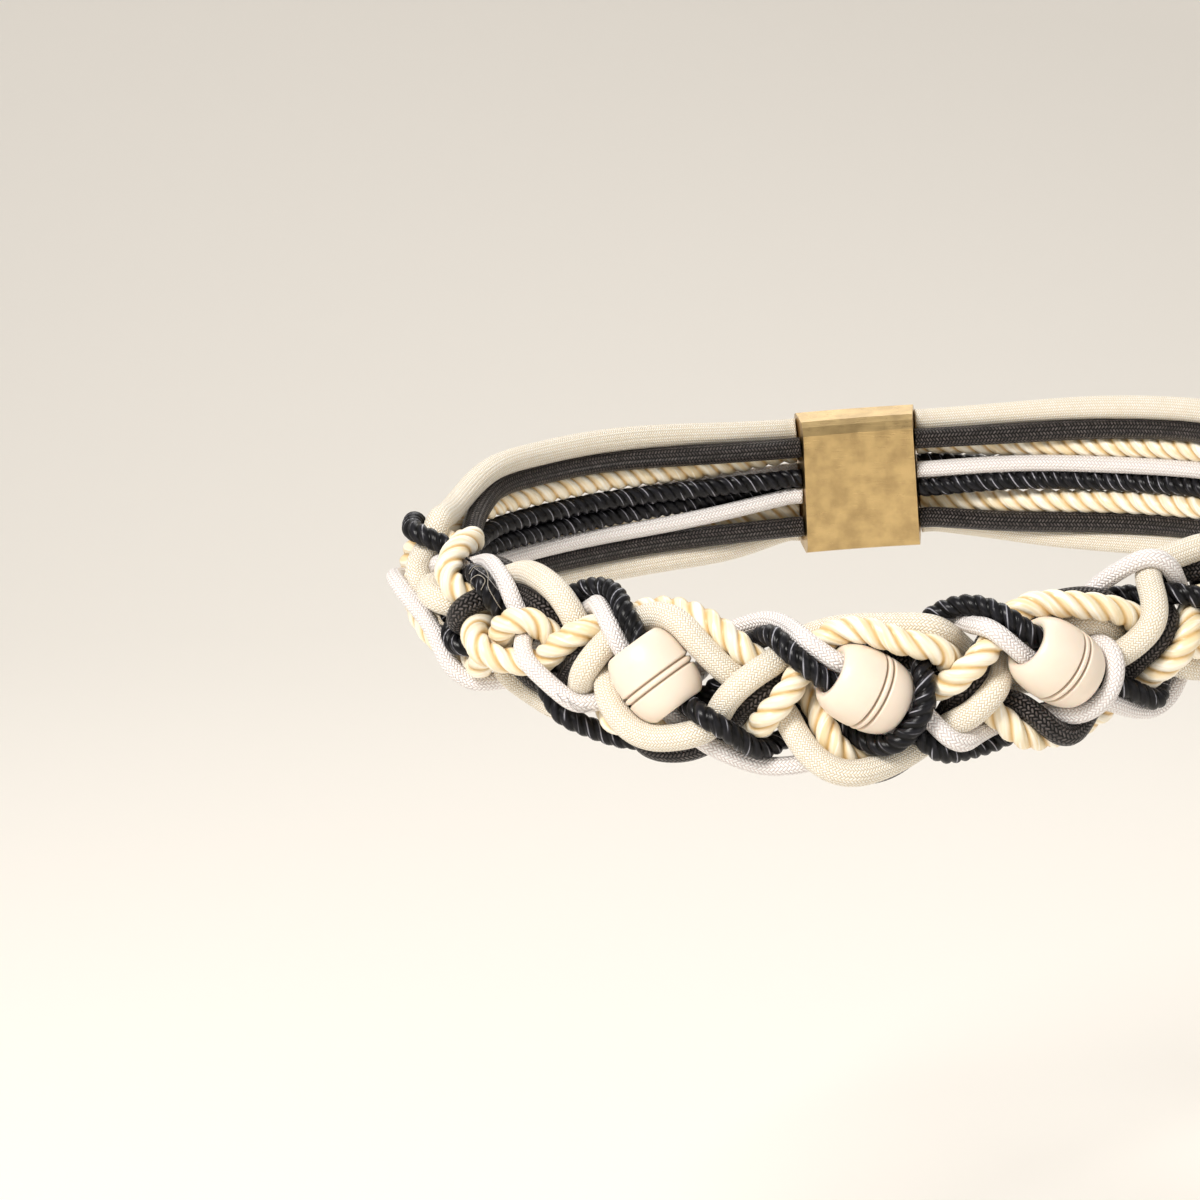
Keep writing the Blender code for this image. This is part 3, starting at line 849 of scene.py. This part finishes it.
class CordBuilder:
    """Draws the cords.

    Args:
        materials: The finish of each slot.
    """

    def __init__(self, materials: dict[str, Material]) -> None:
        """Keep the finishes."""
        self.materials = materials

    def build(self, strand: Strand) -> bpy.types.Object:
        """Draw one cord along its centre line.

        Args:
            strand: The cord.

        Returns:
            The new object.
        """
        kind = strand.kind
        points = resampled(rounded(strand.points, 4), kind.step)
        along = np.arange(len(points)) * np.linalg.norm(points[1] - points[0])
        section, around = kind.section()
        turn = 2 * math.pi * along / kind.pitch
        if kind.weave is Weave.BRAIDED:
            turn = np.zeros(len(points))
        rings = swept(points, section, turn)
        made = new_mesh_object("drawn_" + strand.name, rings, [], self.materials[kind.slot])
        self.skin(made.data, around, along)
        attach(made, BODY)
        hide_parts(strand.name)
        return made

    def skin(self, mesh: bpy.types.Mesh, around: np.ndarray, along: np.ndarray) -> None:
        """Give a cord's mesh its faces and its own coordinates.

        Args:
            mesh: The mesh, which has its points.
            around: The way round at each point of a section, and at the first again.
            along: The way along at each section.
        """
        rings, sides = len(along), len(around) - 1
        ring, spot = np.meshgrid(np.arange(rings - 1), np.arange(sides), indexing="ij")
        following = (spot + 1) % sides
        here, there = ring * sides, (ring + 1) * sides
        corners = (here + spot, here + following, there + following, there + spot)
        quads = np.stack(corners, axis=-1).reshape(-1, 4)
        count = len(quads)
        mesh.loops.add(count * 4 + 2 * sides)
        mesh.polygons.add(count + 2)
        ends = np.concatenate([np.arange(sides)[::-1], (rings - 1) * sides + np.arange(sides)])
        numbers = np.concatenate([quads.ravel(), ends])
        mesh.loops.foreach_set("vertex_index", numbers.astype(np.int32))
        starts = np.concatenate([np.arange(count) * 4, [count * 4, count * 4 + sides]])
        mesh.polygons.foreach_set("loop_start", starts.astype(np.int32))
        mesh.update(calc_edges=True)
        layer = mesh.uv_layers.new(name="route")
        u = np.stack([around[spot], around[spot + 1], around[spot + 1], around[spot]], axis=-1)
        v = np.stack([along[ring], along[ring], along[ring + 1], along[ring + 1]], axis=-1)
        own = np.stack([u, v], axis=-1).reshape(-1, 2)
        cap = np.zeros((2 * sides, 2))
        layer.data.foreach_set("uv", np.concatenate([own, cap]).ravel().astype(np.float32))
        mesh.validate()
        mesh.shade_smooth()


@dataclass(frozen=True)
class Fray:
    """One loose fibre that lies over the cords and stands a little off them.

    Args:
        slot: The slot of the cord that it comes from.
        radius: Its own radius.
        path: Image columns and rows that it passes, with the millimetres that it
            stands off the cord below; less than nothing is down in the cord.
    """

    slot: str
    radius: float
    path: tuple[tuple[float, float, float], ...]


FRAYS = (
    Fray(
        "black_rope", 0.00045,
        ((481, 577, -0.6), (478, 569, 0.6), (471, 562, 1.3), (466, 558, 1.8)),
    ),
    Fray(
        "white_cord", 0.00012,
        ((467, 563, -0.2), (476, 569, 0.9), (487, 577, 1.1), (498, 590, -0.2)),
    ),
    Fray(
        "cream_cord", 0.00014,
        ((469, 574, -0.2), (474, 567, 1.0), (483, 567, 1.6), (488, 575, 1.4),
         (488, 586, 1.0), (494, 598, 0.9), (501, 609, -0.2)),
    ),
    Fray(
        "cream_cord", 0.00013,
        ((472, 588, -0.2), (471, 580, 1.0), (478, 575, 1.5), (485, 580, 1.2), (481, 590, -0.1)),
    ),
    Fray(
        "white_cord", 0.00013,
        ((556, 692, -0.2), (563, 701, 0.9), (573, 703, 1.3), (581, 708, 0.9), (589, 705, -0.2)),
    ),
    Fray(
        "white_cord", 0.00012,
        ((566, 695, -0.2), (572, 706, 1.0), (581, 712, 1.2), (592, 710, 0.4)),
    ),
)


class FrayBuilder:
    """Lays the loose fibres on the settled cords.

    Args:
        strands: The cords.
        materials: The finish of each slot.
        studio: The studio whose camera sees them.
    """

    SIDES = 6
    MILLIMETRE = 0.001
    NEAR_MISS = 0.0005

    def __init__(
        self, strands: Sequence[Strand], materials: dict[str, Material], studio: "Studio"
    ) -> None:
        """Gather the cords' points and radii."""
        self.points = np.concatenate([strand.points for strand in strands])
        radii = [strand.kind.radius for strand in strands]
        self.radii = np.repeat(radii, [len(strand.points) for strand in strands])
        self.materials = materials
        self.studio = studio

    def place(self, column: float, row: float, lift: float) -> np.ndarray:
        """Find the place on the foremost cord at an image place.

        Args:
            column: The image's column.
            row: The image's row.
            lift: How many millimetres off the cord.

        Returns:
            The place.
        """
        eye, right, up, look = (np.array(axis) for axis in self.studio.sight())
        pixel, middle = self.studio.pixel, IMAGE_SIDE / 2
        ray = look * self.studio.distance + right * (column - middle) * pixel
        ray -= up * (row - middle) * pixel
        ray /= np.linalg.norm(ray)
        reach = (self.points - eye) @ ray
        off = np.linalg.norm(self.points - eye - reach[:, None] * ray, axis=1)
        met = off < self.radii
        if not met.any():
            met = off <= off.min() + self.NEAR_MISS
        depth = reach - np.sqrt(np.maximum(self.radii ** 2 - off ** 2, 0))
        return eye + ray * (depth[met].min() - lift * self.MILLIMETRE)

    def build(self, rank: int, fray: Fray, cords: CordBuilder) -> bpy.types.Object:
        """Draw one loose fibre.

        Args:
            rank: Its number.
            fray: The fibre.
            cords: The builder that skins cords.

        Returns:
            The new object.
        """
        line = rounded(np.array([self.place(*spot) for spot in fray.path]), 10)
        rings = swept(line, circle(self.SIDES) * fray.radius, np.zeros(len(line)))
        made = new_mesh_object(f"loose_fibre_{rank}", rings, [], self.materials[fray.slot])
        cords.skin(made.data, np.linspace(0, 1, self.SIDES + 1), way_along(line))
        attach(made, BODY)
        return made


class BeadBuilder:
    """Turns the beads again, with their grooves.

    Args:
        material: Their finish.
    """

    SIDES = 72
    STEPS = 201
    SHOULDER = 2.4
    ROUNDNESS = 0.62
    LIP = 0.0010
    GROOVES = (0.0006, 0.0028)
    GROOVE_WIDTH = 0.00056
    GROOVE_DEPTH = 0.00100

    def __init__(self, material: Material) -> None:
        """Keep the finish."""
        self.material = material

    def outline(self, bead: Bead) -> list[tuple[float, float]]:
        """Return the bead's outline as lengths along its bore and out from it.

        Args:
            bead: The bead.

        Returns:
            The outline, from the bore's left end round the outside and back inside.
        """
        swell = bead.radius - bead.rim
        outside = []
        for share in np.linspace(-1, 1, self.STEPS):
            along = bead.half * share
            bulge = max(0.0, 1 - abs(share) ** self.SHOULDER) ** self.ROUNDNESS
            out = bead.rim + swell * bulge
            for groove in self.GROOVES:
                dip = math.exp(-(((along - groove) / self.GROOVE_WIDTH) ** 2) * 2)
                out -= self.GROOVE_DEPTH * dip
            outside.append((along, out))
        left = [
            (-bead.half + self.LIP * 1.2, bead.hole),
            (-bead.half + self.LIP * 0.3, bead.hole + self.LIP * 0.2),
        ]
        right = [(-along, out) for along, out in reversed(left)]
        return left + outside + right

    def build(self, bead: Bead) -> bpy.types.Object:
        """Turn one bead about its bore.

        Args:
            bead: The bead.

        Returns:
            The new object.
        """
        outline = self.outline(bead)
        side = np.cross(bead.bore, [0.0, 0.0, 1.0])
        side /= np.linalg.norm(side)
        up = np.cross(side, bead.bore)
        ring = circle(self.SIDES)
        around = ring[:, :1] * side + ring[:, 1:] * up
        points = [bead.centre + bead.bore * along + around * out for along, out in outline]
        faces = []
        for rank in range(len(outline)):
            here, there = rank * self.SIDES, (rank + 1) % len(outline) * self.SIDES
            for spot in range(self.SIDES):
                beside = (spot + 1) % self.SIDES
                faces.append((here + spot, there + spot, there + beside, here + beside))
        made = new_mesh_object("drawn_" + bead.name, np.concatenate(points), faces, self.material)
        turned = bmesh.new()
        turned.from_mesh(made.data)
        bmesh.ops.recalc_face_normals(turned, faces=turned.faces)
        turned.to_mesh(made.data)
        turned.free()
        made.data.shade_smooth()
        route = made.data.uv_layers.new(name="route")
        for loop in made.data.loops:
            rank, spot = divmod(loop.vertex_index, self.SIDES)
            route.data[loop.index].uv = (spot / self.SIDES, outline[rank][0])
        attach(made, BODY)
        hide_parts(bead.name)
        return made


@dataclass(frozen=True)
class BeadFinish:
    """Finish of the beads: pale turned wood with a thin satin coat.

    Args:
        name: The material's name.
        colour: The coat's colour.
        darker: The colour of its faint clouds.
        groove: The colour down in the grooves.
        roughness: How dull it is.
    """

    name: str
    colour: Colour
    darker: Colour
    groove: Colour
    roughness: float

    def material(self) -> Material:
        """Make the material.

        Returns:
            The new material.
        """
        surface = Surface(self.name)
        where = surface.node("ShaderNodeTexCoord").outputs["Object"]
        clouds = surface.times(surface.noise(where, 130.0, 4.0), 0.5)
        tint = surface.mix(clouds, (*self.colour, 1), (*self.darker, 1))
        _, along = surface.route()
        for groove in BeadBuilder.GROOVES:
            beside = surface.math("ABSOLUTE", surface.math("SUBTRACT", along, groove))
            shade = surface.spread(beside, BeadBuilder.GROOVE_WIDTH, 0.00005)
            tint = surface.mix(surface.times(shade, 0.8), tint, (*self.groove, 1))
        return surface.dress(
            tint,
            surface.noise(where, 2600.0, 2.0),
            0.00002,
            Roughness=self.roughness,
            Subsurface_Weight=0.15,
            Subsurface_Scale=0.002,
        )


@dataclass(frozen=True)
class MetalFinish:
    """Finish of the clasp.

    Args:
        name: The material's name.
        colour: The metal's colour.
        darker: Its colour where it is tarnished.
        roughness: How dull it is at the least.
    """

    name: str
    colour: Colour
    darker: Colour
    roughness: float

    def material(self) -> Material:
        """Make the material.

        Returns:
            The new material.
        """
        surface = Surface(self.name)
        where = surface.node("ShaderNodeTexCoord").outputs["Object"]
        stretch = zip(surface.parts(where), (40.0, 2400.0, 2400.0))
        drawn_out = [surface.times(part, scale) for part, scale in stretch]
        brushed = surface.noise(surface.place(*drawn_out), 1.0, 3.0)
        worn = surface.spread(surface.noise(where, 160.0, 3.0), 0.25, 0.80)
        dull = surface.math("ADD", self.roughness, surface.times(brushed, 0.22))
        tint = surface.mix(worn, (*self.colour, 1), (*self.darker, 1))
        return surface.dress(tint, brushed, 0.00004, Roughness=dull, Metallic=1.0)


@dataclass(frozen=True)
class Studio:
    """The floor, the light and the camera.

    Args:
        floor_height: Height of the floor under the belt.
        floor_colour: Its colour.
        focus: The middle of the belt's front.
        focus_pixel: Where that shows in the 1200 by 1200 picture.
        distance: The camera's way to it.
        pixel: What one pixel spans there.
        tilt: How far the camera looks down, in degrees.
        sensor: The width of its sensor, in millimetres.
    """

    floor_height: float = -0.30
    floor_colour: Colour = (0.96, 0.925, 0.87)
    focus: tuple[float, float, float] = (0.0, -0.1139, -0.0109)
    focus_pixel: tuple[float, float] = (908.0, 690.0)
    distance: float = 1.1
    pixel: float = 0.00029
    tilt: float = 12.0
    sensor: float = 36.0

    def build_floor(self) -> None:
        """Make a pale floor that curves up into a backdrop."""
        bpy.ops.object.select_all(action="DESELECT")
        bpy.ops.mesh.primitive_grid_add(x_subdivisions=2, y_subdivisions=60, size=1.0)
        floor = bpy.context.object
        floor.name = "studio_floor"
        width, depth, backdrop, bend, in_front = 9.0, 7.0, 3.2, 1.2, 2.6
        flat = depth - backdrop
        for vertex in floor.data.vertices:
            far = (vertex.co.y + 0.5) * depth
            rise = max(0.0, far - flat)
            angle = min(rise / bend, math.pi / 2)
            y = min(far, flat) + bend * math.sin(angle)
            z = bend * (1 - math.cos(angle)) + max(0.0, rise - bend * math.pi / 2)
            vertex.co = (vertex.co.x * width, y - in_front, z + self.floor_height)
        floor.data.shade_smooth()
        paint = bpy.data.materials.new("studio_paint")
        paint.use_nodes = True
        shader = paint.node_tree.nodes["Principled BSDF"]
        shader.inputs["Base Color"].default_value = (*self.floor_colour, 1)
        shader.inputs["Roughness"].default_value = 0.9
        floor.data.materials.append(paint)

    def build_lights(self) -> None:
        """Make the soft light: the room, a large key, a fill and a light from behind."""
        world = bpy.data.worlds.new("studio_room")
        bpy.context.scene.world = world
        world.use_nodes = True
        room = world.node_tree.nodes["Background"]
        room.inputs["Color"].default_value = (1.0, 0.97, 0.93, 1)
        room.inputs["Strength"].default_value = 0.50
        bpy.context.scene.view_settings.view_transform = "Standard"
        aim = Vector((0.0, -0.09, 0.0))
        rows = (
            ("key_light", (-0.75, -0.95, 1.05), 0.50, 24.0, (1.0, 0.965, 0.92)),
            ("fill_light", (1.20, -1.20, 0.45), 1.20, 4.0, (1.0, 0.97, 0.94)),
            ("rim_light", (0.15, 1.10, 1.10), 0.90, 7.0, (1.0, 0.99, 0.97)),
        )
        for name, place, size, power, colour in rows:
            data = bpy.data.lights.new(name, "AREA")
            data.shape = "SQUARE"
            data.size = size
            data.energy = power
            data.color = colour
            light = bpy.data.objects.new(name, data)
            light.location = place
            way = aim - light.location
            light.rotation_euler = way.to_track_quat("-Z", "Y").to_euler()
            bpy.context.scene.collection.objects.link(light)

    def sight(self) -> tuple[Vector, Vector, Vector, Vector]:
        """Work out where the camera stands and how it looks.

        Returns:
            The eye's place and its directions right, up and ahead.
        """
        tilt = math.radians(self.tilt)
        look = Vector((0, math.cos(tilt), -math.sin(tilt)))
        right = Vector((1, 0, 0))
        up = right.cross(look)
        aside = right * (self.focus_pixel[0] - IMAGE_SIDE / 2) * self.pixel
        below = up * (self.focus_pixel[1] - IMAGE_SIDE / 2) * self.pixel
        return Vector(self.focus) - aside + below - look * self.distance, right, up, look

    def build_camera(self) -> None:
        """Make the camera as the photographed belt is seen."""
        eye, right, up, look = self.sight()
        data = bpy.data.cameras.new("studio_camera")
        camera = bpy.data.objects.new("studio_camera", data)
        turn = Matrix((right, up, -look)).transposed().to_4x4()
        camera.matrix_world = Matrix.Translation(eye) @ turn
        data.sensor_width = self.sensor
        data.lens = self.distance / self.pixel * self.sensor / IMAGE_SIDE
        bpy.context.scene.collection.objects.link(camera)
        bpy.context.scene.camera = camera

    def build(self) -> None:
        """Make the whole studio."""
        self.build_floor()
        self.build_lights()
        self.build_camera()


def cord_materials() -> dict[str, Material]:
    """Make the finishes of all the slots.

    Returns:
        The materials by slot.
    """
    relief, fibres = braid_group(), ply_group()
    braids = (
        BraidFinish(
            "white_cord", (0.97, 0.93, 0.91), (1.0, 0.99, 0.98), (0.80, 0.70, 0.67),
            around=14, along=800.0, relief=0.00040, roughness=0.34, sheen=0.2,
        ),
        BraidFinish(
            "cream_cord", (0.92, 0.84, 0.69), (1.0, 0.98, 0.92), (0.76, 0.62, 0.42),
            around=24, along=1080.0, relief=0.00032, roughness=0.42, sheen=0.2,
        ),
        BraidFinish(
            "black_braid", (0.006, 0.005, 0.005), (0.140, 0.120, 0.115), (0.0005, 0.0004, 0.0004),
            around=16, along=820.0, relief=0.00060, roughness=0.32, gloss=0.3, focus=9.0,
        ),
    )
    plies = (
        PlyFinish(
            "black_rope", (0.003, 0.0028, 0.003), (0.0005, 0.0005, 0.0006),
            streak=(0.016, 0.016, 0.021), sheen_streak_share=0.8,
            painted_glint=(0.38, 0.38, 0.43), painted_glint_share=0.95,
            fineness=5.5, slant=50.0, relief=0.00055, roughness=0.28, gloss=0.20,
        ),
        PlyFinish(
            "cream_rope", (0.85, 0.69, 0.42), (0.68, 0.45, 0.18),
            streak=(1.0, 0.96, 0.85), sheen_streak_share=0.95,
            painted_glint=(1.0, 0.98, 0.92), painted_glint_share=0.6,
            fineness=5.5, slant=34.0, relief=0.00070, roughness=0.34, gloss=0.6,
        ),
    )
    bead = BeadFinish("bead", (0.87, 0.76, 0.64), (0.79, 0.66, 0.53), (0.30, 0.19, 0.11), 0.36)
    clasp = MetalFinish("clasp", (0.60, 0.43, 0.20), (0.40, 0.28, 0.13), 0.20)
    made = {finish.name: finish.material(relief) for finish in braids}
    made.update({finish.name: finish.material(fibres) for finish in plies})
    made.update({finish.name: finish.material() for finish in (bead, clasp)})
    return made


def main() -> None:
    """Build the belt's looks and the studio round it."""
    logging.basicConfig(level=logging.INFO, format="%(message)s")
    names = sorted(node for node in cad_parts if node.rsplit("_", 1)[0] in KINDS)
    bead_names = sorted(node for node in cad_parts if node.startswith("bead"))
    materials = cord_materials()
    plait = Plait(names, bead_names)
    plait.settle(Plait.ROUNDS)
    LOG.info("settled %d cords round %d beads", len(plait.strands), len(plait.beads))
    cords = CordBuilder(materials)
    pieces = [cords.build(strand) for strand in plait.strands]
    studio = Studio()
    loose = FrayBuilder(plait.strands, materials, studio)
    pieces += [loose.build(rank, fray, cords) for rank, fray in enumerate(FRAYS)]
    beads = BeadBuilder(materials["bead"])
    pieces += [beads.build(bead) for bead in plait.beads]
    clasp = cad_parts["clasp"]
    clasp.data.materials.clear()
    clasp.data.materials.append(materials["clasp"])
    for piece in (*pieces, clasp):
        LOG.info("%s: %d faces", piece.name, len(piece.data.polygons))
    studio.build()


if __name__ == "__main__":
    main()
